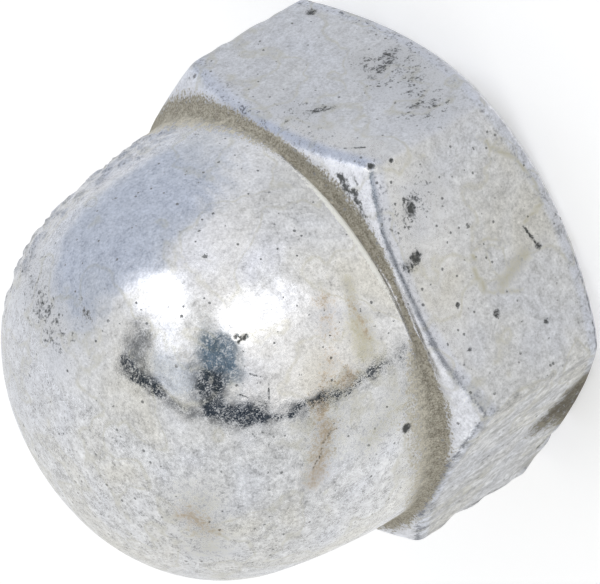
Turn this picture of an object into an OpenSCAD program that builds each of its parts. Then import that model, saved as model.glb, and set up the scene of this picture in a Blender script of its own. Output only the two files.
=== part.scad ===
// Cap nut: a hexagon nut closed on one side by a dome, forged in one piece.
// The nut stands on its bearing face, with +Z along the thread towards the dome.
// The origin is the centre of the bearing face.

/* [Hexagon] */
// Width across the flats
across_flats = 17; // [16:0.1:19]
// Height of the hexagon from the bearing face to the shoulder under the dome
hex_h = 7.35; // [6.5:0.05:8.5]
// Radius along the six upright edges
corner_r = 0.4; // [0.1:0.05:1]
// Diameter of the bearing face inside its chamfer
bearing_d = 16.15; // [14:0.05:16.9]
// Slope of the chamfer at the bearing face, from the face
bearing_chamfer_angle = 30; // [15:1:45]
// Slope of the chamfer at the dome side, from the shoulder
dome_chamfer_angle = 35; // [15:1:45]

/* [Dome] */
// Height of the whole nut, from the bearing face to the crown
total_h = 17.6; // [16.5:0.1:19]
// Largest diameter of the dome, at its foot
dome_d = 16.4; // [15.2:0.1:16.8]
// Radius of the barrel-shaped side of the dome
side_r = 22; // [16:1:40]
// Radius of the shoulder between the side and the crown
shoulder_r = 5.9; // [5:0.1:6.5]
// Radius of the crown
crown_r = 11.5; // [10:0.5:16]
// Height above the hexagon at which the side of the dome stands upright
side_start = 0.2; // [0:0.05:0.5]
// Radius of the small groove round the foot of the dome
groove_r = 0.16; // [0.05:0.01:0.3]
// Height of the middle of that groove above the hexagon
groove_rise = 0.12; // [0.05:0.01:0.2]

/* [Bore] */
// Diameter of the bore wall, which is the core diameter of the M10 thread
bore_d = 8.5; // [8:0.1:9]
// Depth at which the bore wall ends and the drill's cone begins
bore_depth = 12.6; // [10:0.1:13]
// Point angle of the drill that made the blind end
drill_angle = 118; // [90:1:140]
// Diameter of the countersink at the mouth
mouth_d = 10.6; // [10:0.1:12]
// Depth of the countersink at the mouth
mouth_depth = 0.6; // [0.3:0.05:1]

/* [Hidden] */
$fn = 128;

// Clearance by which cutting shapes pass the surfaces that they cut
past = 1;
dome_r = dome_d / 2;
apothem = across_flats / 2;
// Radius that lies well outside the hexagon's corners
outside_r = across_flats;
// Largest angle of one straight step in an arc of the dome
arc_step = 4;

// Centres of the dome's three arcs, in a half section of radius and height.
// Each arc passes into the next at a common tangent.
side_c = [dome_r - side_r, hex_h + side_start];
crown_c = [0, total_h - crown_r];
shoulder_c = circles_meet(side_c, side_r - shoulder_r, crown_c, crown_r - shoulder_r);
// Angles above the horizontal at which the side and the shoulder end
side_end = direction(side_c, shoulder_c);
shoulder_end = direction(crown_c, shoulder_c);

// Where two circles in the half section meet, on the upper side
function circles_meet(a, ra, b, rb) =
    let (d = norm(b - a),
         u = (b - a) / d,
         along = (d * d + ra * ra - rb * rb) / (2 * d),
         off = sqrt(ra * ra - along * along))
    a + along * u + off * [-u[1], u[0]];

// Angle of the line from one point to another
function direction(from, to) = atan2(to[1] - from[1], to[0] - from[0]);

// Points along an arc, after the first, from one angle up to another
function arc(centre, r, from, to) =
    let (steps = ceil((to - from) / arc_step))
    [for (i = [1 : steps])
        let (a = from + (to - from) * i / steps)
        centre + r * [cos(a), sin(a)]];

// Hexagon with its corners rounded
module rounded_hexagon() {
    offset(r = corner_r, $fn = 30) circle(r = (apothem - corner_r) / cos(30), $fn = 6);
}

// Half section that cuts the hexagon's chamfers at both ends
module chamfer_section() {
    bearing_r = bearing_d / 2;
    polygon([
        [0, 0],
        [bearing_r, 0],
        [outside_r, (outside_r - bearing_r) * tan(bearing_chamfer_angle)],
        [outside_r, hex_h - (outside_r - apothem) * tan(dome_chamfer_angle)],
        [apothem, hex_h],
        [0, hex_h],
    ]);
}

// Half section of the dome: upright foot, barrel side, shoulder and crown
module dome_section() {
    foot = hex_h - past;
    polygon(concat(
        [[0, foot], [dome_r, foot], [dome_r, side_c[1]]],
        arc(side_c, side_r, 0, side_end),
        arc(shoulder_c, shoulder_r, side_end, shoulder_end),
        arc(crown_c, crown_r, shoulder_end, 90)
    ));
}

// Small round groove where the dome rises from the hexagon
module foot_groove() {
    rotate_extrude() translate([dome_r, hex_h + groove_rise]) circle(r = groove_r, $fn = 32);
}

// Blind bore with its countersunk mouth and the drill's cone at the end
module blind_bore() {
    bore_r = bore_d / 2;
    cone_h = bore_r / tan(drill_angle / 2);
    mouth_slope = (mouth_d / 2 - bore_r) / mouth_depth;
    translate([0, 0, -past]) cylinder(r = bore_r, h = bore_depth + past);
    translate([0, 0, bore_depth]) cylinder(r1 = bore_r, r2 = 0, h = cone_h);
    translate([0, 0, -past])
        cylinder(r1 = mouth_d / 2 + mouth_slope * past, r2 = bore_r, h = mouth_depth + past);
}

// The nut, one forged and tapped piece
module cap_nut() {
    color("#c6c8c9") difference() {
        union() {
            intersection() {
                linear_extrude(height = hex_h) rounded_hexagon();
                rotate_extrude() chamfer_section();
            }
            rotate_extrude() dome_section();
        }
        foot_groove();
        blind_bore();
    }
}

cap_nut();
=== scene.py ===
import math
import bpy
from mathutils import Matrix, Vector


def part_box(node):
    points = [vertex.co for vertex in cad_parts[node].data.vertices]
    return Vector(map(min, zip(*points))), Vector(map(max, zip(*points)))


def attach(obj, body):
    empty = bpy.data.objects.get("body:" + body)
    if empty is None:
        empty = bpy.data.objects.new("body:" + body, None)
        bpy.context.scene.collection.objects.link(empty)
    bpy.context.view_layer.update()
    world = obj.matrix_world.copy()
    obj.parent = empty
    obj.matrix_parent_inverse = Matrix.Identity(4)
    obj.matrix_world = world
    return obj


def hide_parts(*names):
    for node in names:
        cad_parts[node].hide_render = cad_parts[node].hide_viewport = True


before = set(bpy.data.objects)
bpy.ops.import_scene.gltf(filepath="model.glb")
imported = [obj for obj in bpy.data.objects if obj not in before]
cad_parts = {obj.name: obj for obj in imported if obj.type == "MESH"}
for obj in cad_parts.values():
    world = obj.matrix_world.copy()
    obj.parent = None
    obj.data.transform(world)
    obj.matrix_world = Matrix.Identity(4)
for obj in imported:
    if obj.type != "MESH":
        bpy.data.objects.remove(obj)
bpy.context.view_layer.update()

from types import SimpleNamespace

import bmesh
import bpy
import numpy as np
from mathutils import Matrix, Vector, noise

# ---------------------------------------------------------------- sizes, in millimetres
# The nut stands on its bearing face at z = 0, with the thread axis along Z and the dome on top.
MM = 0.001
low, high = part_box("cap_nut")
APOTHEM = (high.y - low.y) / 2 / MM
TOTAL_H = (high.z - low.z) / MM
HEX_H = 7.35
CORNER_R = 0.4
BEARING_R = 8.075
BEARING_SLOPE = math.radians(30)
DOME_SLOPE = math.radians(35)
DOME_EDGE_R = 0.36
BEARING_EDGE_R = 0.28
DOME_R = 8.2
SIDE_R = 22.0
SHOULDER_R = 5.9
CROWN_R = 11.5
SIDE_START = 0.2
GROOVE_R = 0.16
GROOVE_RISE = 0.12
LIP_R = 0.1
# Fillet at the dome's foot: where the lip is open, where dirt begins, and its growth with the dirt
LIP_FILLET = 0.06
DIRT_FILLET = 0.12
DIRT_FILLET_GROWTH = 0.6

BORE_R = 4.25
THREAD_R = 5.0
PITCH = 1.5
BORE_DEPTH = 12.6
THREAD_DEPTH = 11.0
RUN_OUT = 1.2
DRILL_SLOPE = math.radians(59)
MOUTH_R = 5.3
MOUTH_DEPTH = 0.6


# ---------------------------------------------------------------- shape of the nut
def dome_arcs():
    """Centres and end angles of the dome's side, shoulder and crown, as in the solid."""
    side_c = np.array([DOME_R - SIDE_R, HEX_H + SIDE_START])
    crown_c = np.array([0.0, TOTAL_H - CROWN_R])
    gap = crown_c - side_c
    d = np.hypot(*gap)
    u = gap / d
    ra, rb = SIDE_R - SHOULDER_R, CROWN_R - SHOULDER_R
    along = (d * d + ra * ra - rb * rb) / (2 * d)
    off = math.sqrt(ra * ra - along * along)
    shoulder_c = side_c + along * u + off * np.array([-u[1], u[0]])
    side_end = math.atan2(*(shoulder_c - side_c)[::-1])
    shoulder_end = math.atan2(*(shoulder_c - crown_c)[::-1])
    return side_c, shoulder_c, crown_c, side_end, shoulder_end


SIDE_C, SHOULDER_C, CROWN_C, SIDE_END, SHOULDER_END = dome_arcs()


def dome_distance(r, z):
    """Signed distance from the dome's surface, negative inside."""
    side = np.hypot(r - SIDE_C[0], z - SIDE_C[1]) - SIDE_R
    shoulder = np.hypot(r - SHOULDER_C[0], z - SHOULDER_C[1]) - SHOULDER_R
    crown = np.hypot(r - CROWN_C[0], z - CROWN_C[1]) - CROWN_R
    a_side = np.arctan2(z - SIDE_C[1], r - SIDE_C[0])
    a_crown = np.arctan2(z - CROWN_C[1], r - CROWN_C[0])
    d = np.where(a_side < SIDE_END, side, shoulder)
    d = np.where(a_crown > SHOULDER_END, crown, d)
    return np.where(z < SIDE_C[1], r - DOME_R, d)


def hexagon_distance(x, y):
    """Signed distance from a hexagon with rounded corners, one of them on +X."""
    inner = APOTHEM - CORNER_R
    angle = np.arctan2(y, x)
    radius = np.hypot(x, y)
    turn = np.mod(angle, math.pi / 3) - math.pi / 6
    across, along = radius * np.cos(turn), radius * np.sin(turn)
    half = inner * math.tan(math.pi / 6)
    beyond = np.maximum(np.abs(along) - half, 0)
    outside = np.hypot(np.maximum(across - inner, 0), beyond)
    return np.where(across > inner, outside, across - inner) - CORNER_R


def round_meet(parts, radius):
    """The common space of several half spaces, with its edges rounded."""
    d = np.stack(parts) + radius
    return np.minimum(d.max(0), 0) + np.sqrt((np.maximum(d, 0) ** 2).sum(0)) - radius


def blend_union(a, b, width):
    """Two solids joined with a small fillet."""
    h = np.clip(0.5 + 0.5 * (b - a) / width, 0, 1)
    return b * (1 - h) + a * h - width * h * (1 - h)


# How far the dirt in the neck reaches, by angle round the nut in degrees: up the dome from its
# foot, and out over the hexagon from the dome's side, both in mm
DIRT = [
    (-180, 0.3, 0.8),
    (-170, 0.3, 0.55),
    (-160, 0.5, 0.3),
    (-150, 1.0, 0.25),
    (-140, 1.1, 0.35),
    (-128, 1.35, 0.5),
    (-118, 1.5, 0.4),
    (-110, 1.2, 0.1),
    (-103, 0.8, 0.0),
    (-97, 0.2, -0.08),
    (-84, 0.0, 0.0),
    (-74, 0.2, 0.3),
    (-66, 0.22, 0.55),
    (-56, 0.22, 0.5),
    (-50, 0.22, 0.35),
    (-40, 0.3, 0.15),
    (-28, 0.6, 0.15),
    (-14, 1.0, 0.4),
    (0, 1.3, 0.75),
    (16, 1.2, 0.75),
    (40, 0.5, 0.2),
    (90, 0.4, 0.1),
    (120, 0.7, 0.5),
    (150, 0.4, 0.2),
]
# Degrees between which the dome's lip stands clear of the dirt, and over how many that fades
LIP_FROM, LIP_TO, LIP_FADE = -98, -42, 12


def dirt_reach(angle):
    """The table's two reaches at an angle in radians."""
    degrees = np.degrees(angle)
    at, up, out = zip(*DIRT)
    return np.interp(degrees, at, up, period=360), np.interp(degrees, at, out, period=360)


def lip_share(angle):
    """1 where the groove under the dome's lip is open, 0 where dirt fills it."""
    degrees = np.degrees(angle)
    ends = [LIP_FROM - LIP_FADE, LIP_FROM, LIP_TO, LIP_TO + LIP_FADE]
    return np.interp(degrees, ends, [0, 1, 1, 0])


def nut_distance(x, y, z):
    """Signed distance from the outside of the nut."""
    r = np.hypot(x, y)
    angle = np.arctan2(y, x)
    sb, cb = math.sin(BEARING_SLOPE), math.cos(BEARING_SLOPE)
    st, ct = math.sin(DOME_SLOPE), math.cos(DOME_SLOPE)
    sides = hexagon_distance(x, y)
    top = round_meet([sides, (r - APOTHEM) * st + (z - HEX_H) * ct, z - HEX_H], DOME_EDGE_R)
    foot = round_meet([sides, (r - BEARING_R) * sb - z * cb, -z], BEARING_EDGE_R)
    hexagon = np.where(z > HEX_H / 2, top, foot)
    dome = np.maximum(dome_distance(r, z), HEX_H - 1 - z)
    open_lip = lip_share(angle)
    up, out = dirt_reach(angle)
    dirt_fillet = DIRT_FILLET + DIRT_FILLET_GROWTH * np.minimum(up, out)
    fillet = LIP_FILLET + (1 - open_lip) * dirt_fillet
    body = blend_union(hexagon, dome, fillet)
    groove = np.hypot(r - DOME_R, z - HEX_H - GROOVE_RISE) - GROOVE_R * (2 * open_lip - 1)
    return round_meet([body, -groove], LIP_R)


def spread(values, weights, count):
    """Picks count values so that they crowd where the weights are high."""
    steps = np.concatenate([[0], np.cumsum((weights[1:] + weights[:-1]) / 2 * np.diff(values))])
    return np.interp(np.linspace(0, steps[-1], count), steps, values)


def hexagon_outline(angle):
    """Sharp half section of the hexagon at an angle, from the bearing face to the shoulder."""
    turn = (angle % (math.pi / 3)) - math.pi / 6
    reach = APOTHEM / math.cos(turn)
    corner = (APOTHEM - CORNER_R) / math.cos(math.pi / 6)
    off = math.pi / 6 - abs(turn)
    inside = CORNER_R ** 2 - (corner * math.sin(off)) ** 2
    if inside > 0:
        reach = min(reach, corner * math.cos(off) + math.sqrt(inside))
    return [
        (0.0, 0.0),
        (BEARING_R, 0.0),
        (reach, (reach - BEARING_R) * math.tan(BEARING_SLOPE)),
        (reach, HEX_H - (reach - APOTHEM) * math.tan(DOME_SLOPE)),
        (APOTHEM, HEX_H),
    ]


def dome_outline():
    """Sharp half section from the hexagon's shoulder over the dome to the crown."""
    groove_top = HEX_H + GROOVE_RISE + GROOVE_R
    points = [(APOTHEM, HEX_H), (DOME_R + GROOVE_R, HEX_H), (DOME_R, groove_top)]
    for c, radius, start, end, n in (
        (SIDE_C, SIDE_R, 0, SIDE_END, 12),
        (SHOULDER_C, SHOULDER_R, SIDE_END, SHOULDER_END, 24),
        (CROWN_C, CROWN_R, SHOULDER_END, math.pi / 2, 10),
    ):
        for a in np.linspace(start, end, n):
            points.append((c[0] + radius * math.cos(a), c[1] + radius * math.sin(a)))
    return points


def rows_along(points, corners, zone, count, thin=()):
    """Points along an outline, crowded near its corners and thinned where thin says."""
    points = np.array(points)
    lengths = np.concatenate([[0], np.cumsum(np.hypot(*np.diff(points, axis=0).T))])
    s = np.linspace(0, lengths[-1], OUTLINE_SAMPLES)
    weights = np.ones_like(s)
    for c in corners:
        weights += EDGE_CROWD * np.exp(-((s - lengths[c]) / zone) ** 2)
    if thin:
        weights *= np.interp(s, *thin)
    at = spread(s, weights, count)
    return np.stack([np.interp(at, lengths, points[:, k]) for k in (0, 1)], -1)


COLUMNS = 384
HEX_ROWS = 82
DOME_ROWS = 106
OUTLINE_SAMPLES = 1500
ROUND_SAMPLES = 7201
CORNER_CROWD = 5.0
CORNER_ZONE = math.radians(1.4)
EDGE_CROWD = 4.0
EDGE_ZONE = 0.3
# Height of the point in the nut from which its skin is projected, and steps of the search for it
HEART = 5.0
HALVINGS = 40
# The side with the fine marks gets narrower columns
MARKED_SIDE = math.radians(-85)
MARKED_CROWD = 0.3


def column_angles():
    """Angles of the mesh's columns, crowded at the hexagon's corners and on the marked side."""
    a = np.linspace(0, 2 * math.pi, ROUND_SAMPLES)
    off = np.abs(np.mod(a + math.pi / 6, math.pi / 3) - math.pi / 6)
    weights = 1 + MARKED_CROWD * np.cos(a - MARKED_SIDE)
    weights += CORNER_CROWD * np.exp(-(off / CORNER_ZONE) ** 2)
    return spread(a, weights, COLUMNS + 1)[:-1]


# Pits and dents: middle, radius and depth in mm, and how solid their black is
PITS = [
    ((2.85, -8.5, 5.68), 0.26, 0.06, 0.85),
    ((3.1, -8.5, 5.3), 0.14, 0.03, 0.6),
    ((1.25, -8.5, 6.35), 0.24, 0.06, 0.8),
    ((1.2, -8.5, 6.85), 0.15, 0.04, 0.7),
    ((2.1, -8.5, 6.1), 0.05, 0.02, 1.0),
    ((-1.9, -8.5, 4.3), 0.12, 0.05, 1.0),
    ((-3.1, -8.5, 2.6), 0.1, 0.06, 1.0),
    ((-2.5, -8.5, 5.9), 0.07, 0.03, 1.0),
    ((-2.85, -8.5, 6.35), 0.06, 0.03, 1.0),
    ((-0.9, -8.5, 5.6), 0.07, 0.03, 1.0),
    ((-0.3, -8.5, 5.0), 0.05, 0.03, 1.0),
    ((-0.3, -8.5, 1.7), 0.1, 0.05, 0.5),
    ((-0.65, -8.5, 1.6), 0.13, 0.07, 0.9),
    ((4.85, -8.3, 6.3), 0.13, 0.06, 1.0),
    ((4.7, -8.45, 5.55), 0.07, 0.05, 1.0),
    ((9.3, -0.9, 1.5), 0.2, 0.05, 0.8),
    ((7.0, -4.9, 5.4), 0.35, 0.03, 0.35),
    ((7.1, -4.7, 1.8), 0.35, 0.03, 0.3),
    ((-4.05, -7.1, 8.75), 0.17, 0.08, 1.2),
    ((1.8, -7.25, 13.1), 0.1, 0.03, 0.7),
    ((1.95, -7.1, 13.3), 0.08, 0.03, 0.6),
    ((-7.3, -4.4, 2.6), 0.6, 0.07, 0.0),
    ((-7.9, -3.2, 5.4), 0.4, 0.03, 0.0),
    ((-5.2, -7.9, 6.6), 0.3, 0.05, 0.0),
    ((-9.7, -0.3, 4.4), 0.45, 0.14, 0.0),
    ((-9.6, -0.4, 2.9), 0.35, 0.08, 0.0),
    ((-9.2, -1.0, 1.4), 0.6, 0.13, 0.0),
    ((-8.5, -2.2, 0.6), 0.35, 0.1, 0.0),
    ((9.6, 0.0, 0.4), 0.55, 0.1, 0.0),
    ((9.75, 0.0, 2.6), 0.5, 0.03, 0.0),
    ((9.75, 0.0, 6.1), 0.5, 0.05, 0.0),
]
SKIN_GAP = 0.004
# Slow and quick waves of the whole skin: length and depth in mm
SLOW_WAVE, SLOW_DEPTH = 2.6, 0.022
QUICK_WAVE, QUICK_DEPTH = 0.8, 0.014
# A strip of crust runs up the dome's side, square to ACROSS_CRUST. It starts CRUST_START above the
# hexagon, and reaches to where the cosine of the angle from ROUGH_SIDE falls to CRUST_REACH.
ROUGH_SIDE = Vector((0.94, 0.31, 0.17)).normalized()
ACROSS_CRUST = Vector((0.19, -0.86, 0.48)).normalized()
CROWN_START = 11.0
CRUST_START = 0.6
CRUST_REACH, CRUST_FADE = 0.8, 0.1
# The strip is full up to twice this from its middle, and gone at three times; a share of the radius
CRUST_EDGE = 0.13
# The crust's peaks: length and depth in mm, and the noise's level where they start to rise
CRUST_WAVE, CRUST_DEPTH = 0.36, 0.1
PEAK_LEVEL, PEAK_RISE = 0.6, 0.08
# Knocks along the hexagon's corners: length and depth in mm, half width in degrees
KNOCK_WAVE, KNOCK_DEPTH, KNOCK_WIDTH = 0.6, 0.14, 2.4
# Lumps of dirt: two lengths and the height in mm
LUMP_WAVES, LUMP_HEIGHT = (0.45, 0.27), 0.04
# The wear fades out towards the bearing face over this height
STAND_FADE = 0.3


def wave(points, scale):
    """Smooth noise between 0 and 1 at a scale in mm."""
    return np.array([0.5 + 0.5 * noise.noise(Vector(p) / scale) for p in points])


def wear_depth(points):
    """How far worn, pitted or dirty skin lies inside the clean form, in mm; dirt stands proud."""
    z = points[:, 2]
    on_dome = np.clip((z - HEX_H - CRUST_START) / CRUST_START, 0, 1)
    outward = points * (1, 1, 0) + np.c_[0 * z, 0 * z, np.clip(z - CROWN_START, 0, None)]
    outward = outward / np.maximum(np.linalg.norm(outward, axis=1), 0.01)[:, None]
    crust = on_dome * np.clip((outward @ np.array(ROUGH_SIDE) - CRUST_REACH) / CRUST_FADE, 0, 1)
    crust *= np.clip(3 - np.abs(outward @ np.array(ACROSS_CRUST)) / CRUST_EDGE, 0, 1)
    peaks = np.clip((wave(points, CRUST_WAVE) - PEAK_LEVEL) / PEAK_RISE, 0, 1)
    depth = SKIN_GAP + SLOW_DEPTH * wave(points, SLOW_WAVE) + QUICK_DEPTH * wave(points, QUICK_WAVE)
    depth += CRUST_DEPTH * crust * (1 - peaks)
    degrees = np.degrees(np.arctan2(points[:, 1], points[:, 0]))
    off_corner = np.mod(degrees + 30, 60) - 30
    corner = np.exp(-(off_corner / KNOCK_WIDTH) ** 2) * (z < HEX_H)
    depth += KNOCK_DEPTH * corner * np.clip(wave(points, KNOCK_WAVE) - 0.3, 0, 1)
    for centre, radius, deep, _ in PITS:
        near = ((points - centre) ** 2).sum(1) / radius ** 2
        depth += deep * np.exp(-near)
    lumps = wave(points, LUMP_WAVES[0]) + 0.7 * wave(points, LUMP_WAVES[1])
    depth -= np.clip(2 * dirt_cover(points), 0, 1) * LUMP_HEIGHT * np.clip(lumps - 0.6, 0, 1)
    return depth * np.clip(z / STAND_FADE, 0, 1)


def dirt_cover(points):
    """1 at the dome's foot, falling to 0 where the dirt ends and below 0 beyond it."""
    r, z = np.hypot(points[:, 0], points[:, 1]), points[:, 2]
    up, out = dirt_reach(np.arctan2(points[:, 1], points[:, 0]))
    beyond = np.hypot(np.maximum(r - DOME_R, 0), np.minimum(z - HEX_H, 0)) / (out + 0.1)
    above = np.maximum(z - HEX_H, 0) / (up + 0.1)
    return np.clip(1 - np.hypot(beyond, above), -1, 1)


# Smudges of black dirt with some painted dark reflections among them, cracks, streaks of rust, tide
# marks
# and mud: start, end, half width in mm, and strength
SMUDGES_AND_DARK_REFLECTIONS = [
    ((6.8, -5.2, 5.0), (7.0, -4.9, 5.7), 0.25, 0.62),
    ((7.2, -4.5, 1.3), (6.95, -5.0, 2.4), 0.3, 0.7),
    ((5.7, -7.2, 6.3), (5.4, -7.6, 5.8), 0.05, 0.85),
    ((6.9, -5.1, 1.5), (5.4, -7.6, 2.8), 0.9, 0.42),
    ((7.4, -4.2, 2.3), (6.6, -5.5, 3.0), 0.6, 0.42),
    ((7.4, -4.3, 5.9), (6.4, -5.9, 6.4), 0.6, 0.36),
    ((3.2, -8.5, 5.45), (2.75, -8.5, 5.75), 0.24, 0.6),
    ((3.3, -8.5, 5.75), (2.6, -8.5, 6.15), 0.06, 0.8),
    ((3.3, -8.5, 4.8), (2.6, -8.5, 6.2), 0.7, 0.36),
    ((1.4, -8.5, 6.2), (1.15, -8.5, 6.8), 0.2, 0.8),
    ((0.25, -8.5, 1.85), (-0.7, -8.5, 1.6), 0.05, 1.0),
    # painted reflection: the next six strokes, on the chamfer by the corner at -60°, are dark
    # reflections painted in
    ((4.97, -7.4, 7.04), (4.68, -7.5, 7.09), 0.1, 1.2),
    ((4.63, -7.5, 7.14), (4.29, -7.6, 7.19), 0.12, 1.1),
    ((4.75, -7.85, 6.85), (4.5, -7.95, 6.95), 0.06, 0.9),
    ((4.29, -7.78, 7.09), (3.94, -7.83, 7.14), 0.11, 1.2),
    ((3.89, -7.88, 7.19), (3.4, -7.98, 7.24), 0.12, 1.1),
    ((3.35, -8.03, 7.19), (2.66, -8.13, 7.34), 0.06, 1.0),
    ((4.0, -8.4, 6.8), (3.6, -8.5, 6.8), 0.05, 0.8),
    ((3.4, -8.5, 6.85), (2.5, -8.45, 7.1), 0.07, 1.1),
    ((1.65, -7.35, 13.05), (2.0, -7.15, 13.3), 0.05, 0.8),
    ((1.85, -7.3, 13.0), (1.75, -7.15, 13.35), 0.05, 0.8),
    ((4.1, -1.6, 16.7), (5.2, -0.7, 16.2), 0.9, 0.45),
    ((5.2, -0.7, 16.2), (6.4, 1.5, 14.9), 0.8, 0.42),
    ((4.6, -3.1, 16.0), (4.4, -3.2, 16.1), 0.5, 0.4),
    ((-7.25, -4.45, 5.15), (-7.1, -4.75, 3.8), 0.09, 0.8),
    ((-9.0, -1.4, 1.9), (-8.4, -2.45, 0.95), 0.12, 0.7),
    ((-9.69, -0.2, 2.5), (-9.57, -0.4, 3.9), 0.1, 0.8),
]
CRACKS = [
    ((0.6, -7.3, 13.5), (0.2, -7.5, 13.05), 0.035, 0.6),
    ((0.2, -7.5, 13.05), (-0.65, -7.35, 13.4), 0.035, 0.6),
    ((0.3, -7.0, 14.25), (-0.65, -7.35, 13.4), 0.035, 0.6),
    ((-2.6, -7.36, 11.65), (-2.9, -7.17, 12.1), 0.04, 0.65),
    ((-2.9, -7.17, 12.1), (-3.2, -7.0, 12.2), 0.04, 0.6),
    ((-3.2, -7.0, 12.2), (-3.56, -6.72, 12.62), 0.04, 0.65),
    ((-1.2, -6.9, 14.25), (-1.63, -6.88, 14.11), 0.035, 0.55),
    ((-1.63, -6.88, 14.11), (-2.04, -6.9, 13.86), 0.035, 0.5),
    ((-7.4, -3.6, 8.2), (-6.7, -4.8, 8.0), 0.035, 1.0),
]
# Marks narrower than THIN and pits smaller than SMALL_PIT get a finer mesh
THIN = 0.09
SMALL_PIT = 0.3
RUST_STREAKS = [
    ((1.15, -8.05, 9.1), (-0.2, -8.1, 9.2), 0.15, 0.55),
    ((-0.3, -8.0, 10.8), (-1.35, -7.7, 11.75), 0.3, 0.5),
    ((-1.35, -7.7, 11.75), (-2.25, -7.4, 11.9), 0.25, 0.75),
    ((-2.4, -7.4, 11.8), (-3.9, -6.5, 12.6), 0.35, 0.75),
    ((-1.1, -7.9, 10.4), (-1.2, -7.9, 10.6), 0.25, 0.7),
    ((-3.3, -3.9, 16.3), (-4.0, -3.9, 15.9), 0.45, 0.6),
    ((0.6, -7.9, 10.4), (1.6, -7.9, 10.0), 0.3, 0.5),
]
TIDE = [
    ((3.8, -8.5, 1.9), (3.2, -8.5, 1.65), 0.08, 0.9),
    ((3.2, -8.5, 1.65), (2.55, -8.5, 1.0), 0.08, 0.9),
    ((2.55, -8.5, 1.0), (1.4, -8.5, 0.65), 0.08, 0.8),
    ((1.4, -8.5, 0.65), (0.6, -8.5, 0.75), 0.07, 0.9),
    ((0.6, -8.5, 0.75), (0.35, -8.5, 1.7), 0.07, 0.9),
    ((0.45, -8.5, 4.1), (-0.25, -8.5, 4.4), 0.07, 1.0),
    ((-0.25, -8.5, 4.4), (-1.1, -8.5, 4.3), 0.08, 1.0),
    ((-1.1, -8.5, 4.3), (-1.7, -8.5, 3.0), 0.07, 0.8),
    ((-1.1, -8.5, 3.6), (-0.6, -8.5, 2.2), 0.22, 0.8),
    ((0.45, -8.5, 4.1), (0.6, -8.5, 3.4), 0.06, 0.8),
    ((0.6, -8.5, 3.4), (0.1, -8.5, 2.8), 0.06, 0.8),
    ((0.4, -8.1, 9.3), (-0.7, -8.1, 9.5), 0.4, 0.9),
    ((1.7, -7.9, 8.9), (0.4, -8.1, 9.3), 0.2, 0.8),
    ((-3.1, -7.6, 8.9), (-3.6, -7.2, 10.2), 0.6, 0.6),
    ((-1.4, -7.7, 11.0), (-3.0, -7.1, 12.0), 0.7, 0.55),
    ((-3.0, -4.6, 16.0), (-4.8, -3.0, 15.7), 0.8, 0.5),
]
MUD = [
    ((-6.25, -6.2, 0.7), (-7.35, -4.2, 1.9), 0.5, 1.0),
    ((-6.6, -5.6, 0.3), (-7.8, -3.5, 0.5), 0.5, 1.0),
    ((-7.1, -4.7, 1.2), (-7.5, -4.0, 1.0), 0.55, 1.0),
]
# How marked the edge between flats and chamfer is, by angle in degrees: width of the dark line,
# strength of the dark spots, and strength of the painted light and highlight on the chamfer
EDGE_MARKS = [
    (-180, 2.0, 0.8, 0.5),
    (-160, 2.6, 0.8, 0.6),
    (-130, 2.2, 0.3, 0.7),
    (-121, 1.2, 0.4, 0.7),
    (-104, 1.0, 0.5, 0.7),
    (-98, 0.15, 0.3, 0.7),
    (-80, 0.05, 0.5, 0.9),
    (-70, 0.01, 0.6, 1.0),
    (-50, 0.01, 0.6, 1.0),
    (-35, 0.01, 1.2, 0.5),
    (-20, 0.01, 1.2, 0.4),
    (0, 0.2, 1.0, 0.5),
    (60, 0.5, 0.5, 0.5),
    (120, 0.5, 0.5, 0.5),
]


def strokes(points, marks):
    """Strength on the marks' middle lines, 0 at twice their half width."""
    most = np.zeros(len(points))
    for start, end, half, strength in marks:
        line = np.subtract(end, start)
        along = points - start
        share = np.clip(along @ line / (line @ line), 0, 1)
        away = np.linalg.norm(along - share[:, None] * line, axis=1)
        most = np.maximum(most, strength * np.clip(1 - away / (2 * half), 0, 1))
    return most


def spot(centre, half, strength):
    """A mark so short that it is round."""
    return centre, np.add(centre, (0, 0, 0.01)), half, strength


def base_grid():
    """Points near the outside, one row per step along the section and one column per angle."""
    angles = column_angles()
    thin = ([0, BEARING_R - 1, BEARING_R], [0.2, 0.2, 1])
    hexagon = [
        rows_along(hexagon_outline(a), (1, 2, 3, 4), EDGE_ZONE, HEX_ROWS, thin)
        for a in angles
    ]
    dome = rows_along(dome_outline(), (1, 2), EDGE_ZONE, DOME_ROWS)
    base = np.array([np.vstack([h[1:], dome[1:-1]]) for h in hexagon])
    r, z = base[..., 0], base[..., 1]
    return np.stack([r * np.cos(angles)[:, None], r * np.sin(angles)[:, None], z], -1)


def settle(points):
    """Moves points along rays from the nut's heart onto its worn outside."""
    heart = np.array([0, 0, HEART])
    ray = points - heart
    ray /= np.linalg.norm(ray, axis=1, keepdims=True)
    near = np.zeros(len(points))
    far = np.full(len(points), 3 * APOTHEM)
    for _ in range(HALVINGS):
        middle = (near + far) / 2
        outside = nut_distance(*(heart + ray * middle[:, None]).T) > 0
        far = np.where(outside, middle, far)
        near = np.where(outside, near, middle)
    points = heart + ray * near[:, None]
    return points - ray * wear_depth(points)[:, None]


def refine(bm):
    """Halves the faces near the small pits and thin strokes twice over, for clean round shapes."""
    small = [spot(c, size, 1) for c, size, _, _ in PITS if size < SMALL_PIT]
    thin = [(a, b, half + 0.03, 1) for a, b, half, _ in SMUDGES_AND_DARK_REFLECTIONS + CRACKS if half < THIN]
    for reach in (1.1, 0.8):
        faces = list(bm.faces)
        middles = np.array([f.calc_center_median() for f in faces])
        near = strokes(middles, [(a, b, reach * half, 1) for a, b, half, _ in small + thin]) > 0
        edges = list({e for f, chosen in zip(faces, near) if chosen for e in f.edges})
        bmesh.ops.subdivide_edges(bm, edges=edges, cuts=1, use_grid_fill=True)


def link_object(mesh):
    """New object in the scene, named after its mesh."""
    piece = bpy.data.objects.new(mesh.name, mesh)
    bpy.context.scene.collection.objects.link(piece)
    return piece


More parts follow.
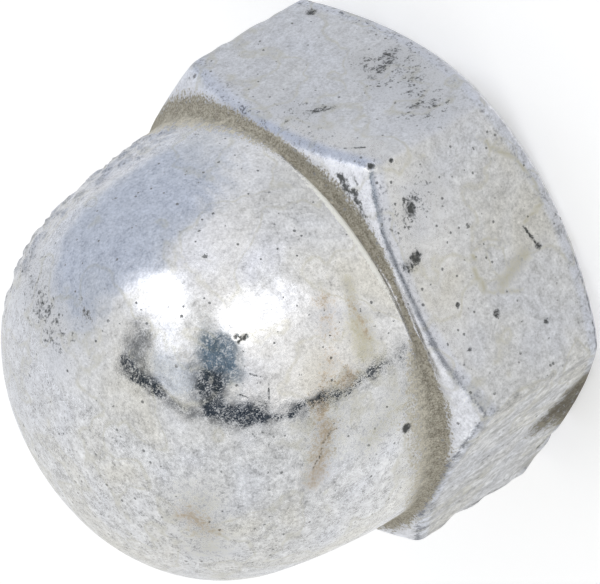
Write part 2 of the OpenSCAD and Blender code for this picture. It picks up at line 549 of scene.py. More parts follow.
def bmesh_object(name, bm):
    """New object from a bmesh, which is then freed."""
    mesh = bpy.data.meshes.new(name)
    bm.to_mesh(mesh)
    bm.free()
    return link_object(mesh)


def mesh_object(name, verts, faces):
    """New object from vertices in millimetres."""
    mesh = bpy.data.meshes.new(name)
    mesh.from_pydata([tuple(c * MM for c in v) for v in verts], [], faces)
    mesh.validate()
    return link_object(mesh)


def skin_object():
    """Closed mesh of the nut's outside."""
    grid = base_grid()
    columns, rows = grid.shape[:2]
    verts = [tuple(p) for p in grid.reshape(-1, 3)]
    foot, crown = len(verts), len(verts) + 1
    verts += [(0, 0, 0), (0, 0, TOTAL_H)]
    faces = []
    for i in range(columns):
        a, b = i * rows, ((i + 1) % columns) * rows
        faces += [(a + j, b + j, b + j + 1, a + j + 1) for j in range(rows - 1)]
        faces.append((foot, b, a))
        faces.append((crown, a + rows - 1, b + rows - 1))
    rough = bpy.data.meshes.new("rough")
    rough.from_pydata(verts, [], faces)
    bm = bmesh.new()
    bm.from_mesh(rough)
    bpy.data.meshes.remove(rough)
    refine(bm)
    settled = settle(np.array([v.co for v in bm.verts]))
    for v, p in zip(bm.verts, settled):
        v.co = Vector(p) * MM
    return bmesh_object("nut_skin", bm)


# Widths of a flank and of a crest, as shares of the pitch
FLANK_ANGLE = math.radians(30)
FLANK = (THREAD_R - BORE_R) * math.tan(FLANK_ANGLE) / PITCH
CREST = 0.3
# Where each row of one turn of thread lies: share of the pitch, and share of the depth
THREAD_ROWS = [
    (0, 0),
    (CREST / 2, 0),
    (CREST, 0),
    (CREST + FLANK / 2, 0.5),
    (CREST + FLANK, 1),
    ((1 + CREST) / 2, 1),
    (1 - FLANK, 1),
    (1 - FLANK / 2, 0.5),
]
THREAD_COLUMNS = 144
TURNS = 11
DRILL_TIP = BORE_DEPTH + BORE_R / math.tan(DRILL_SLOPE)
TIP_GAP = 0.1


def thread_tool():
    """Side of the solid that cuts the bore: a tap's thread, its run-out and the drill's point."""
    rows = [(k + share, depth) for k in range(TURNS) for share, depth in THREAD_ROWS]
    per_turn = len(THREAD_ROWS)
    start = DRILL_TIP - TIP_GAP - PITCH * (rows[-1][0] + 1)
    verts = []
    for i in range(THREAD_COLUMNS):
        a = 2 * math.pi * i / THREAD_COLUMNS
        for share, depth in rows:
            z = start + PITCH * (share + i / THREAD_COLUMNS)
            fade = np.interp(z, [THREAD_DEPTH - RUN_OUT, THREAD_DEPTH], [1, 0])
            r = BORE_R + (THREAD_R - BORE_R) * depth * fade
            if z > BORE_DEPTH:
                r = BORE_R * (DRILL_TIP - z) / (DRILL_TIP - BORE_DEPTH)
            verts.append((r * math.cos(a), r * math.sin(a), z))
    n = len(rows)

    def at(i, j):
        """Vertex number; past the last column the next turn's row follows."""
        turn, i = divmod(i, THREAD_COLUMNS)
        return i * n + j + turn * per_turn

    faces = [
        (at(i, j), at(i + 1, j), at(i + 1, j + 1), at(i, j + 1))
        for i in range(THREAD_COLUMNS)
        for j in range(n - 1)
        if j + 1 + (i + 1) // THREAD_COLUMNS * per_turn < n
    ]
    return verts, faces


def closed_tool():
    """The thread tool with its two spiral ends closed."""
    verts, faces = thread_tool()
    tool = mesh_object("thread_tool", verts, faces)
    bm = bmesh.new()
    bm.from_mesh(tool.data)
    ends = [e for e in bm.edges if e.is_boundary]
    middle = BORE_DEPTH / 2 * MM
    for tip_z, at_top in ((-2 * PITCH, False), (DRILL_TIP, True)):
        tip = bm.verts.new((0, 0, tip_z * MM))
        for e in ends:
            if (e.verts[0].co.z > middle) == at_top:
                bm.faces.new((e.verts[0], e.verts[1], tip))
    bmesh.ops.recalc_face_normals(bm, faces=bm.faces)
    bm.to_mesh(tool.data)
    bm.free()
    return tool


def mouth_tool():
    """Cone that cuts the countersink at the mouth."""
    past = 1.0
    slope = (MOUTH_R - BORE_R) / MOUTH_DEPTH
    bm = bmesh.new()
    bmesh.ops.create_cone(
        bm, cap_ends=True, segments=THREAD_COLUMNS,
        radius1=(MOUTH_R + slope * past) * MM,
        radius2=(BORE_R - slope * past) * MM,
        depth=(MOUTH_DEPTH + 2 * past) * MM,
        matrix=Matrix.Translation((0, 0, MOUTH_DEPTH / 2 * MM)),
    )
    return bmesh_object("mouth_tool", bm)


def cut(piece, tool):
    """Takes the tool's space out of the piece and deletes the tool."""
    step = piece.modifiers.new("cut", "BOOLEAN")
    step.operation = "DIFFERENCE"
    step.solver = "EXACT"
    step.object = tool
    graph = bpy.context.evaluated_depsgraph_get()
    result = bpy.data.meshes.new_from_object(piece.evaluated_get(graph))
    piece.modifiers.clear()
    piece.data = result
    bpy.data.objects.remove(tool)


SHARP_ANGLE = math.radians(60)


def nut_object():
    """The whole nut: outside, bore, thread and mouth in one closed mesh."""
    piece = skin_object()
    piece.name = "nut"
    cut(piece, closed_tool())
    cut(piece, mouth_tool())
    piece.data.shade_smooth()
    piece.data.set_sharp_from_angle(angle=SHARP_ANGLE)
    return piece


def store(piece, name, values):
    """Keeps one number per vertex for the materials to read."""
    layer = piece.data.attributes.new(name, "FLOAT", "POINT")
    layer.data.foreach_set("value", values.astype(np.float32))


EDGE_REACH = 3


def edge_side(points):
    """How far, in mm, points lie past the flats' edge: above 0 on a chamfer, below on a flat."""
    x, y, z = points.T
    r, sides = np.hypot(x, y), hexagon_distance(x, y)
    top = (r - APOTHEM) * math.sin(DOME_SLOPE) + (z - HEX_H) * math.cos(DOME_SLOPE)
    foot = (r - BEARING_R) * math.sin(BEARING_SLOPE) - z * math.cos(BEARING_SLOPE)
    past = np.where(z > HEX_H / 2, np.maximum(top, z - HEX_H), foot)
    return np.clip(past - sides, -EDGE_REACH, EDGE_REACH)


# Angles in degrees over which the painted highlight on the lip and the painted shade in the groove
# under it come and go, and their widths in mm
COME_AND_GO = [0, 1, 1, 0]
LIP_HIGHLIGHT_ANGLES, LIP_HIGHLIGHT_WIDTH = [-96, -78, -62, -34], 0.13
GROOVE_SHADE_ANGLES, GROOVE_SHADE_WIDTH = [-104, -98, -76, -70], 0.06
LIP_HIGHLIGHT_Z = HEX_H + GROOVE_RISE + GROOVE_R + 0.06


def mark_skin(piece):
    """Stores the dirt, the marks, the places of the edges, and painted light: the lip's highlight,
    the groove's shade and the chamfers' highlight.
    """
    points = np.empty(len(piece.data.vertices) * 3)
    piece.data.vertices.foreach_get("co", points)
    points = points.reshape(-1, 3) / MM
    r = np.hypot(points[:, 0], points[:, 1])
    degrees = np.degrees(np.arctan2(points[:, 1], points[:, 0]))
    lip = np.interp(degrees, LIP_HIGHLIGHT_ANGLES, COME_AND_GO)
    near_lip_highlight = np.hypot(r - DOME_R, points[:, 2] - LIP_HIGHLIGHT_Z)
    groove_shade = np.interp(degrees, GROOVE_SHADE_ANGLES, COME_AND_GO)
    near_groove_shade = np.hypot(r - DOME_R - GROOVE_R, points[:, 2] - HEX_H)
    groove_shade = groove_shade * np.clip(1.6 - near_groove_shade / GROOVE_SHADE_WIDTH, 0, 1.2)
    at, line, spots, pale = zip(*EDGE_MARKS)
    black = [spot(c, 0.85 * size, 1.15 * solid) for c, size, _, solid in PITS]
    store(piece, "dirt", dirt_cover(points))
    # painted highlight: a pale line along the dome's lip
    store(piece, "lip", lip * np.clip(1.8 - near_lip_highlight / LIP_HIGHLIGHT_WIDTH, 0, 1))
    store(piece, "pit", strokes(points, black))
    # painted shade: a dark line along the groove's outer edge joins the smudges
    store(piece, "smudge_and_painted_dark", np.maximum(strokes(points, SMUDGES_AND_DARK_REFLECTIONS + CRACKS), groove_shade))
    store(piece, "rust", strokes(points, RUST_STREAKS))
    store(piece, "mud", strokes(points, MUD))
    store(piece, "tide", strokes(points, TIDE))
    store(piece, "edge", edge_side(points))
    store(piece, "edge_line", np.interp(degrees, at, line, period=360))
    store(piece, "edge_spots", np.interp(degrees, at, spots, period=360))
    # strength of the painted light and highlight on the chamfers, by angle
    store(piece, "edge_highlight", np.interp(degrees, at, pale, period=360))


nut = nut_object()
mark_skin(nut)
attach(nut, "root")
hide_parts("cap_nut")


# ---------------------------------------------------------------- camera
VIEW_AZIMUTH = math.radians(12.78)
VIEW_ELEVATION = math.radians(28.37)
VIEW_ROLL = math.radians(121.48)
VIEW_AIM = Vector((0.525, -0.133, 6.421))
VIEW_DISTANCE = 198.3
LENS = 331.5


def camera_axes():
    """Right, up and back of the camera: a level camera turned round its own line of sight."""
    a, e = VIEW_AZIMUTH, VIEW_ELEVATION
    back = Vector((math.sin(a) * math.cos(e), -math.cos(a) * math.cos(e), math.sin(e)))
    level_right = Vector((0, 0, 1)).cross(back).normalized()
    level_up = back.cross(level_right)
    up = level_up * math.cos(VIEW_ROLL) + level_right * math.sin(VIEW_ROLL)
    right = level_right * math.cos(VIEW_ROLL) - level_up * math.sin(VIEW_ROLL)
    return right, up, back


def add_camera():
    """Camera at the viewing angle, with a long lens."""
    right, up, back = camera_axes()
    data = bpy.data.cameras.new("camera")
    data.lens = LENS
    data.clip_start = 0.01
    data.clip_end = 10
    camera = bpy.data.objects.new("camera", data)
    turn = Matrix((right, up, back)).transposed().to_4x4()
    camera.matrix_world = Matrix.Translation((VIEW_AIM + back * VIEW_DISTANCE) * MM) @ turn
    bpy.context.scene.collection.objects.link(camera)
    bpy.context.scene.camera = camera


add_camera()
bpy.context.scene.view_settings.view_transform = "Standard"


# ---------------------------------------------------------------- node trees
class Graph:
    """Short names for making a node tree."""

    def __init__(self, tree):
        self.tree = tree
        tree.nodes.clear()

    def node(self, kind, inputs=(), **settings):
        """New node; inputs are (socket, value or output of another node) pairs."""
        made = self.tree.nodes.new("ShaderNode" + kind)
        for name, value in settings.items():
            setattr(made, name, value)
        for socket, value in inputs:
            if isinstance(value, bpy.types.NodeSocket):
                self.tree.links.new(value, made.inputs[socket])
            else:
                made.inputs[socket].default_value = value
        return made

    def math(self, operation, *values):
        """Output of a Math node."""
        return self.node("Math", enumerate(values), operation=operation).outputs[0]

    def vector(self, operation, *values, out="Vector"):
        """Output of a Vector Math node; out is "Value" where the result is a number."""
        return self.node("VectorMath", enumerate(values), operation=operation).outputs[out]

    def step(self, value, low, high):
        """Smooth step from 0 at low to 1 at high; high may be the smaller."""
        flip = high < low
        inputs = [("Value", value), ("From Min", min(low, high)), ("From Max", max(low, high))]
        inputs += [("To Min", float(flip)), ("To Max", float(not flip))]
        return self.node("MapRange", inputs, interpolation_type="SMOOTHSTEP").outputs["Result"]

    def between(self, share, low, high):
        """Value from low to high as share goes from 0 to 1."""
        inputs = [("Value", share), ("To Min", low), ("To Max", high)]
        return self.node("MapRange", inputs).outputs["Result"]

    def mix(self, share, a, b):
        """Colour from a to b as share goes from 0 to 1."""
        inputs = [(0, share), (6, a), (7, b)]
        return self.node("Mix", inputs, data_type="RGBA").outputs[2]

    def lay(self, colour, over, share, weight):
        """Colour with another laid over it, as share goes from 0 to 1."""
        return self.mix(self.math("MULTIPLY", share, weight), colour, over)

    def noise(self, at, scale, detail=2.0, roughness=0.5, distortion=0.0):
        """Noise round 0.5, with scale features to the millimetre."""
        inputs = [("Vector", at), ("Scale", scale), ("Detail", detail)]
        inputs += [("Roughness", roughness), ("Distortion", distortion)]
        return self.node("TexNoise", inputs).outputs["Fac"]


# ---------------------------------------------------------------- studio
# The studio is turned against the nut: its pale table stands on the nut's low side, at -UP.
UP = Vector((0.82, -0.57, -0.07)).normalized()
FRONT = (camera_axes()[2] - UP * camera_axes()[2].dot(UP)).normalized()
SIDE = UP.cross(FRONT)

TABLE = (0.96, 0.96, 0.95, 1)
ROOM = (1.0, 0.99, 0.96, 1)
WINDOW_BLUE = (0.64, 0.69, 0.78, 1)
SOFT_BOX = (2.65, 2.65, 2.7, 1)
SOFT_BOX_EDGE = (1.13, 1.11, 1.08, 1)
CEILING = (1.18, 1.18, 1.21, 1)
BACK_WALL = (0.84, 0.84, 0.83, 1)
GAP = (1.5, 1.52, 1.6, 1)
GREY_STAND = (0.36, 0.37, 0.38, 1)
BLUE_STAND = (0.16, 0.23, 0.3, 1)
DARK_STAND = (0.035, 0.05, 0.07, 1)
PALE_BLUE = (0.84, 0.89, 0.98, 1)

# Elevations in degrees where the table ends and where the room is full
HORIZON = (-1, 2)
# Azimuth from and to, elevation from and to, softness, all in degrees, and the colour. Each panel
# lies over those above it in the table.
PANELS = [
    (-172, -76, -5, 74, 14, WINDOW_BLUE),
    (-200, 200, 68, 110, 8, CEILING),
    (84, 200, 40, 86, 14, BACK_WALL),
    (-70, 40, 62, 90, 20, SOFT_BOX_EDGE),
    (8, 66, 4, 66, 10, SOFT_BOX_EDGE),
    (-98, -18, 32, 82, 28, SOFT_BOX),
    (-48, -14, 8, 34, 6, PALE_BLUE),
    (-50, -27, 26, 52, 8, GAP),
    (-3, 62, 36, 78, 26, SOFT_BOX),
    (-64, -46, 3, 38, 5, GREY_STAND),
    (-22, 24, 20, 58, 12, BLUE_STAND),
    (-24, 9, 8, 36, 9, DARK_STAND),
    (-63, -36, 1, 15, 4, DARK_STAND),
    (-40, -12, 0, 8, 3, GREY_STAND),
    (-18, 30, -1, 17, 5, DARK_STAND),
    (14, 54, 0, 10, 4, DARK_STAND),
    (36, 72, 0, 5, 1.5, DARK_STAND),
]


def window(g, value, low, high, soft):
    """1 where value lies between low and high, with soft edges."""
    return g.math("MULTIPLY", g.step(value, low, low + soft), g.step(value, high, high - soft))


def studio_world():
    """Soft studio light all round, with what the polished dome mirrors."""
    world = bpy.data.worlds.new("studio")
    world.use_nodes = True
    g = Graph(world.node_tree)
    direction = g.node("TexCoord").outputs["Generated"]
    up, front, side = [
        g.vector("DOT_PRODUCT", direction, tuple(v), out="Value") for v in (UP, FRONT, SIDE)
    ]
    elevation = g.math("DEGREES", g.math("ARCSINE", up))
    azimuth = g.math("DEGREES", g.math("ARCTAN2", side, front))
    colour = g.mix(g.step(elevation, *HORIZON), TABLE, ROOM)
    for a, b, c, d, soft, panel in PANELS:
        share = g.math("MULTIPLY", window(g, azimuth, a, b, soft), window(g, elevation, c, d, soft))
        colour = g.mix(share, colour, panel)
    seen = g.node("LightPath").outputs["Is Camera Ray"]
    colour = g.mix(seen, colour, (1, 1, 1, 1))
    light = g.node("Background", [("Color", colour)])
    g.node("OutputWorld", [("Surface", light.outputs[0])])
    bpy.context.scene.world = world


FLOOR_SIZE = 1200
FLOOR_COLOUR = (0.72, 0.72, 0.72, 1)
FLOOR_GLOW = 0.42
FLOOR_GAP = 0.01


def add_floor():
    """Plain pale floor under the bearing face; it takes the shadow, and glows faintly in view."""
    half = FLOOR_SIZE / 2
    z = -FLOOR_GAP
    corners = [(-half, -half, z), (half, -half, z), (half, half, z), (-half, half, z)]
    floor = mesh_object("floor", corners, [(0, 1, 2, 3)])
    mat = bpy.data.materials.new("floor")
    mat.use_nodes = True
    g = Graph(mat.node_tree)
    matt = g.node("BsdfDiffuse", [("Color", FLOOR_COLOUR)])
    path = g.node("LightPath")
    seen = g.math("MAXIMUM", path.outputs["Is Camera Ray"], path.outputs["Is Transmission Ray"])
    seen = g.math("MAXIMUM", seen, path.outputs["Is Glossy Ray"])
    glow = g.node("Emission", [("Strength", g.math("MULTIPLY", seen, FLOOR_GLOW))])
    both = g.node("AddShader", [(0, matt.outputs[0]), (1, glow.outputs[0])])
    g.node("OutputMaterial", [("Surface", both.outputs[0])])
    floor.data.materials.append(mat)
    floor.visible_glossy = False


studio_world()
add_floor()


# ---------------------------------------------------------------- zinc
ZINC = (0.61, 0.615, 0.625, 1)
ZINC_PALE = (0.69, 0.695, 0.705, 1)
ZINC_DULL = (0.4, 0.4, 0.4, 1)
ZINC_WARM = (0.6, 0.58, 0.51, 1)
ZINC_COOL_AND_REFLECTED_BLUE = (0.61, 0.63, 0.69, 1)
BLOOM = (0.675, 0.68, 0.69, 1)
CHAMFER_HIGHLIGHT = (0.94, 0.95, 1.0, 1)
EDGE_REFLECTION_BLUE = (0.6, 0.63, 0.72, 1)
SPECK = (0.035, 0.038, 0.035, 1)
SPOT = (0.16, 0.17, 0.2, 1)
STAIN = (0.44, 0.42, 0.31, 1)
RUST = (0.42, 0.345, 0.255, 1)
MUD_BROWN = (0.12, 0.105, 0.075, 1)
MUD_PALE = (0.3, 0.28, 0.22, 1)
DIRT_DARK = (0.19, 0.17, 0.13, 1)
DIRT_MID = (0.46, 0.43, 0.355, 1)
DIRT_PALE = (0.7, 0.66, 0.56, 1)
LIP_HIGHLIGHT = (0.95, 0.94, 0.88, 1)


def either(g, masks):
    """The strongest of several masks."""
    most = masks[0]
    for mask in masks[1:]:
        most = g.math("MAXIMUM", most, mask)
    return most


def specks(g, at, scale, most, share, torn):
    """Torn specks, one to a Voronoi cell, up to most cells in radius; share says how many."""
    cell = g.node("TexVoronoi", [("Vector", at), ("Scale", scale)])
    chance = g.node("SeparateColor", [(0, cell.outputs["Color"])]).outputs[0]
    size = g.math("MULTIPLY", g.math("POWER", g.step(chance, 1 - share, 1), 2), most)
    gap = g.math("SUBTRACT", size, cell.outputs["Distance"])
    gap = g.math("MULTIPLY_ADD", torn, 0.45, gap)
    return g.step(gap, -0.015, 0.03)


def contour(g, value, level, width):
    """A thin line where a noise passes a level."""
    off = g.math("ABSOLUTE", g.math("SUBTRACT", value, level))
    return g.step(off, width, 0)


def attribute(g, name):
    """A number stored on the mesh's vertices."""
    return g.node("Attribute", attribute_name=name).outputs["Fac"]


def torn_mark(g, name, torn, weight, low, high):
    """A mark stored on the mesh, its edges torn by noise."""
    strength = attribute(g, name)
    mark = g.step(g.math("MULTIPLY_ADD", torn, weight, strength), low, high)
    return g.math("MULTIPLY", mark, g.step(strength, 0.0, 0.15))


# Middles of the polished patch on the dome and of the grit on it, and distances in mm at which they
# end and are full
POLISH_AT, POLISH_REACH = (2.0, -6.8, 12.2), (9.8, 8.2)
GRIT_AT, GRIT_REACH = (-0.2, -7.0, 13.4), (6.0, 4.0)
# The polish ends where the dome turns down; heights above UPPER_AT towards UP, in mm
UPPER_AT, UPPER_RISE = (0, 0, 8), (1.4, 2.6)
# Normals of two of the three marked flats; the second of the three faces -Y
FIRST_FLAT = (0.866, -0.5, 0)
THIRD_FLAT = (-0.866, -0.5, 0)
FLAT_RISE = (APOTHEM - 0.3, APOTHEM - 0.1)
DOME_SIDE_RISE = (2.5, 6.0)
TIDE_LEVEL = 0.53


def distance_along(g, at, direction):
    """How far a place lies along a direction."""
    return g.vector("DOT_PRODUCT", at, tuple(direction), out="Value")


def skin_fields(g):
    """Places and noises on the nut that the layers of the material share."""
    skin = SimpleNamespace()
    at = g.vector("MULTIPLY", g.node("TexCoord").outputs["Object"], (1 / MM, 1 / MM, 1 / MM))
    skin.at = at
    skin.z = g.node("SeparateXYZ", [(0, at)]).outputs[2]
    skin.on_dome = g.step(skin.z, HEX_H - 0.2, HEX_H + 0.4)
    skin.on_hexagon = g.math("SUBTRACT", 1.0, skin.on_dome)

    skin.cloud = g.noise(at, 1.1, 4, 0.65, 0.2)
    skin.patch = g.noise(at, 0.4, 2, 0.5, 0.3)
    skin.mottle = g.noise(at, 2.6, 4, 0.8)
    skin.grain = g.noise(at, 10.0, 3, 0.7)
    skin.powder = g.math("SUBTRACT", g.noise(at, 18.0, 3, 0.7), 0.5)
    skin.scratch = g.noise(g.vector("MULTIPLY", at, (1.0, 1.0, 0.25)), 1.8, 4, 0.65, 0.3)
    skin.fine = g.math("SUBTRACT", skin.grain, 0.5)
    skin.coarse = g.math("SUBTRACT", skin.mottle, 0.5)
    skin.torn = g.math("MULTIPLY_ADD", skin.coarse, 1.3, skin.fine)
    skin.edge = g.math("MULTIPLY_ADD", skin.torn, 0.15, attribute(g, "edge"))

    upper = distance_along(g, g.vector("SUBTRACT", at, UPPER_AT), UP)
    upper = g.math("MULTIPLY_ADD", g.math("SUBTRACT", skin.cloud, 0.5), 2.0, upper)
    skin.upper = g.step(upper, *UPPER_RISE)
    skin.third_flat = g.step(distance_along(g, at, THIRD_FLAT), *FLAT_RISE)
    # the first flat and the dome's side next to it are cleaner, and a bluish tint is painted on
    # them for the blue light they reflect
    first_flat = g.step(distance_along(g, at, FIRST_FLAT), *FLAT_RISE)
    dome_side = g.step(distance_along(g, at, ROUGH_SIDE), *DOME_SIDE_RISE)
    skin.cool = g.math("MAXIMUM", first_flat, dome_side)
    return skin


def add_polish_and_bloom(g, skin):
    """Where the dome is polished, where grit lies on it, and how thick the white bloom is."""
    away = g.vector("DISTANCE", skin.at, POLISH_AT, out="Value")
    polish = g.step(g.math("MULTIPLY_ADD", skin.cloud, 2.0, away), *POLISH_REACH)
    skin.polish = g.math("MULTIPLY", polish, skin.upper)
    skin.grit = g.step(g.vector("DISTANCE", skin.at, GRIT_AT, out="Value"), *GRIT_REACH)
    hair_at = g.vector("MULTIPLY", skin.at, (1.0, 1.0, 0.35))
    hair = g.math("SUBTRACT", g.noise(hair_at, 9.0, 3, 0.7, 1.5), 0.5)
    haze = g.math("MULTIPLY", skin.coarse, g.between(skin.grit, 1.1, 1.3))
    haze = g.math("MULTIPLY_ADD", skin.powder, g.between(skin.grit, 1.0, 1.2), haze)
    haze = g.math("MULTIPLY_ADD", hair, g.between(skin.grit, 0.0, 1.4), haze)
    haze = g.math("ADD", haze, g.between(skin.grit, 0.05, -0.17))
    skin.bloom = g.step(haze, -0.22, 0.22)


def plate_gloss(g, skin):
    """Metallic and roughness of the plate; the bloom dulls it."""
    metallic = g.between(skin.polish, 0.62, 0.98)
    metallic = g.math("MULTIPLY_ADD", skin.bloom, g.between(skin.grit, -0.16, -0.55), metallic)
    roughness = g.math("MULTIPLY_ADD", skin.bloom, 0.12, g.between(skin.polish, 0.24, 0.08))
    roughness = g.math("ADD", roughness, g.between(skin.on_dome, 0.15, 0.0))
    return metallic, roughness


def plate_colour(g, skin):
    """Clouds, warm and bluish patches, the bloom, and a painted bluish reflection on the first flat
    and the dome's side next to it.
    """
    colour = g.mix(g.step(skin.cloud, 0.36, 0.64), ZINC, ZINC_PALE)
    colour = g.lay(colour, BLOOM, skin.bloom, 0.5)
    colour = g.lay(colour, ZINC_WARM, g.step(skin.patch, 0.48, 0.7), 0.5)
    colour = g.lay(colour, ZINC_COOL_AND_REFLECTED_BLUE, g.step(skin.patch, 0.5, 0.3), 0.5)
    # painted reflection: the bluish tint of the blue light mirrored on the first flat and the
    # dome's side
    return g.lay(colour, ZINC_COOL_AND_REFLECTED_BLUE, skin.cool, 0.6)


def painted_chamfer_light(g, skin, colour, metallic):
    """Painted light on the chamfers: paler, and matt where the painted highlight is strongest; and
    a painted bluish reflection in the band that borders them on the flats.
    """
    # painted reflection: a bluish band on the flats along their rounded edge
    edge_reflection = g.math("MULTIPLY", g.step(skin.edge, -0.55, -0.3), skin.on_hexagon)
    colour = g.lay(colour, EDGE_REFLECTION_BLUE, edge_reflection, 0.6)
    # painted highlight: the chamfers are made paler, most by the corner at -60°
    chamfer = g.math("MULTIPLY", g.step(skin.edge, -0.05, 0.15), skin.on_hexagon)
    pale = g.math("MULTIPLY", chamfer, attribute(g, "edge_highlight"))
    metallic = g.math("MULTIPLY", metallic, g.step(pale, 1.1, 0.6))
    return g.mix(pale, colour, CHAMFER_HIGHLIGHT), metallic


def grained(g, skin, colour):
    """Scratches on the third flat; grain, mottling and pores, which are weaker on the polish; and
    painted light that makes the dome's low side near the neck paler.
    """
    scratched = g.math("MULTIPLY", skin.third_flat, g.step(skin.scratch, 0.5, 0.34))
    colour = g.lay(colour, ZINC_DULL, scratched, 0.75)

    smoother = g.between(skin.polish, 1.0, 0.7)
    grainy = g.math("MULTIPLY", g.between(skin.on_dome, 0.8, 1.3), smoother)
    shade = g.math("MULTIPLY_ADD", skin.fine, grainy, g.between(skin.on_dome, 0.95, 1.05))
    uneven = g.math("ADD", skin.third_flat, g.between(skin.on_dome, 1.2, 1.6))
    uneven = g.math("MULTIPLY", uneven, smoother)
    uneven = g.math("MULTIPLY", uneven, g.between(skin.cool, 1.0, 0.6))
    shade = g.math("MULTIPLY_ADD", skin.coarse, uneven, shade)
    # painted light: the dome's low side near the neck, towards the table, is made up to 18 % paler
    # for the table's light falling there
    painted_low_side_light = g.math("MULTIPLY", g.step(skin.upper, 0.6, 0.1), g.step(skin.z, 14.0, 9.0))
    painted_low_side_light = g.math("MULTIPLY", painted_low_side_light, skin.on_dome)
    shade = g.math("MULTIPLY_ADD", painted_low_side_light, 0.18, shade)
    pores = g.step(g.math("MULTIPLY_ADD", skin.coarse, 0.5, skin.powder), -0.04, -0.2)
    pores = g.math("MULTIPLY", pores, smoother)
    shade = g.math("MULTIPLY_ADD", pores, g.between(skin.on_dome, -0.12, -0.32), shade)
    return g.vector("MULTIPLY", colour, shade)


def stained(g, skin, colour):
    """Tide lines where a noise passes a level, the marks in TIDE, and faint rust."""
    tide = g.math("MULTIPLY_ADD", g.math("SUBTRACT", skin.cloud, 0.5), 0.12, skin.patch)
    band = g.math("MULTIPLY", contour(g, tide, TIDE_LEVEL, 0.03), 0.4)
    line = contour(g, tide, TIDE_LEVEL, 0.006)
    line = g.math("MULTIPLY", line, g.between(skin.on_dome, 0.5, 0.3))
    lines = g.math("MULTIPLY", g.math("MAXIMUM", band, line), g.step(skin.mottle, 0.3, 0.6))
    colour = g.mix(lines, colour, STAIN)
    colour = g.lay(colour, STAIN, torn_mark(g, "tide", skin.torn, 1.2, 0.1, 1.0), 0.8)
    return g.lay(colour, RUST, torn_mark(g, "rust", skin.torn, 1.6, 0.1, 0.9), 0.9)


def spotted(g, skin, colour):
    """Dark specks and flecks, smudges, painted dark reflections and painted shade in the groove,
    and pits.
    """
    large = specks(g, skin.at, 1.5, 0.13, 0.3, skin.torn)
    small = specks(g, skin.at, 4.2, 0.24, 0.36, skin.torn)
    dots = g.math("MULTIPLY", g.math("MAXIMUM", large, small), g.step(skin.cloud, 0.38, 0.46))
    flecks = g.step(g.math("ADD", skin.mottle, skin.cloud), 0.74, 0.62)
    flecks = g.math("MULTIPLY", flecks, g.step(skin.grain, 0.52, 0.36))
    faint_dots = g.math("MULTIPLY", dots, 0.75)
    faint_flecks = g.math("MULTIPLY", flecks, g.between(skin.on_dome, 0.65, 0.4))
    # this mark also holds the painted dark reflections on the chamfer and the painted shade line in
    # the groove
    smudge_and_painted_dark = torn_mark(g, "smudge_and_painted_dark", skin.torn, 1.5, 0.3, 0.8)
    skin.pit = torn_mark(g, "pit", skin.torn, 1.3, 0.3, 0.75)
    skin.dark = either(g, [faint_dots, faint_flecks, smudge_and_painted_dark, skin.pit])
    return g.lay(colour, SPECK, skin.dark, 0.93)


def edge_marked(g, skin, colour):
    """A dark line along the edge between flats and chamfer, and dark spots beside it."""
    line_at = g.math("DIVIDE", g.math("ADD", skin.edge, 0.04), attribute(g, "edge_line"))
    line = g.math("MULTIPLY", contour(g, line_at, 0.0, 0.09), g.step(skin.torn, 0.12, -0.12))
    band = g.math("MULTIPLY", g.step(skin.edge, -0.75, -0.35), g.step(skin.edge, 0.1, -0.1))
    spots = g.math("MULTIPLY", g.step(skin.torn, -0.1, -0.22), attribute(g, "edge_spots"))
    dark = g.math("MAXIMUM", line, g.math("MULTIPLY", band, spots))
    skin.edge_dark = g.math("MULTIPLY", dark, skin.on_hexagon)
    return g.lay(colour, SPOT, skin.edge_dark, 0.75)


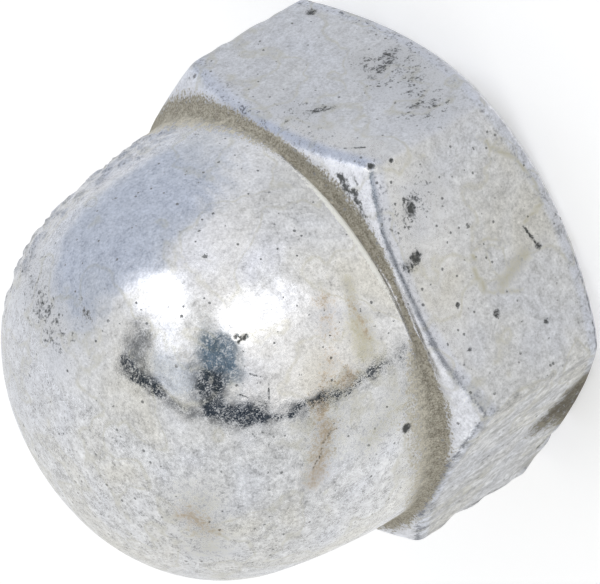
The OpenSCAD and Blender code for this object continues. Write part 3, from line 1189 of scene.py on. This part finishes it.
def soiled(g, skin, colour):
    """Mud on the third flat, crumbly dirt in the neck, and a painted highlight along the dome's
    lip.
    """
    skin.mud = torn_mark(g, "mud", skin.torn, 2.2, 0.2, 0.6)
    dried = g.step(g.math("ADD", skin.scratch, skin.torn), 0.4, 0.7)
    colour = g.mix(skin.mud, colour, g.mix(dried, MUD_BROWN, MUD_PALE))

    dirt = g.math("MULTIPLY_ADD", skin.torn, 1.3, attribute(g, "dirt"))
    dirt = g.step(g.math("MULTIPLY_ADD", skin.fine, 0.8, dirt), 0.0, 0.4)
    skin.dirt = g.math("MULTIPLY", dirt, g.math("SUBTRACT", 1.0, skin.dark))
    crumbs = g.math("MULTIPLY_ADD", skin.coarse, 0.4, g.noise(skin.at, 16.0, 2, 0.8))
    crumbs = g.step(crumbs, 0.33, 0.64)
    low_soil = g.mix(crumbs, DIRT_DARK, DIRT_MID)
    high_soil = g.mix(crumbs, DIRT_MID, DIRT_PALE)
    soil_z = g.math("MULTIPLY_ADD", skin.torn, 1.5, skin.z)
    soil = g.mix(g.step(soil_z, HEX_H, HEX_H + 1.0), low_soil, high_soil)
    colour = g.mix(skin.dirt, colour, soil)

    # painted highlight: a pale cream line along the dome's lip, made matt
    skin.lip = torn_mark(g, "lip", skin.torn, 0.9, 0.25, 0.8)
    return g.mix(skin.lip, colour, LIP_HIGHLIGHT)


def relief(g, skin):
    """Height in mm: slow waves, grain, bloom, lumps in the dirt, and pits."""
    height = g.math("MULTIPLY", g.noise(skin.at, 1.3, 1, 0.5), 0.025)
    height = g.math("MULTIPLY_ADD", skin.grain, g.between(skin.polish, 0.004, 0.0008), height)
    height = g.math("MULTIPLY_ADD", skin.bloom, g.between(skin.polish, 0.003, 0.0008), height)
    height = g.math("MULTIPLY_ADD", g.math("MULTIPLY", skin.dirt, skin.grain), 0.012, height)
    return g.math("MULTIPLY_ADD", skin.pit, -0.03, height)


def zinc_material():
    """Zinc plate under a thin white bloom, with specks, stains and dirt in the neck, and painted
    light: highlights on the chamfers and lip, shade in the groove, dark reflections, a bluish tint
    and a paler low side.
    """
    mat = bpy.data.materials.new("zinc_plated_steel")
    mat.use_nodes = True
    g = Graph(mat.node_tree)
    skin = skin_fields(g)
    add_polish_and_bloom(g, skin)
    metallic, roughness = plate_gloss(g, skin)
    colour = plate_colour(g, skin)
    colour, metallic = painted_chamfer_light(g, skin, colour, metallic)
    for layer in (grained, stained, spotted, edge_marked, soiled):
        colour = layer(g, skin, colour)

    matt = either(g, [skin.dirt, skin.dark, skin.lip, skin.mud, skin.edge_dark])
    metallic = g.math("MULTIPLY", metallic, g.math("SUBTRACT", 1.0, matt))
    roughness = g.math("MAXIMUM", roughness, g.math("MULTIPLY", matt, 0.9))
    bump = g.node("Bump", [("Strength", 1.0), ("Distance", MM), ("Height", relief(g, skin))])
    surface = g.node("BsdfPrincipled", [
        ("Base Color", colour),
        ("Metallic", metallic),
        ("Roughness", roughness),
        ("Normal", bump.outputs[0]),
    ])
    g.node("OutputMaterial", [("Surface", surface.outputs[0])])
    return mat


nut.data.materials.append(zinc_material())
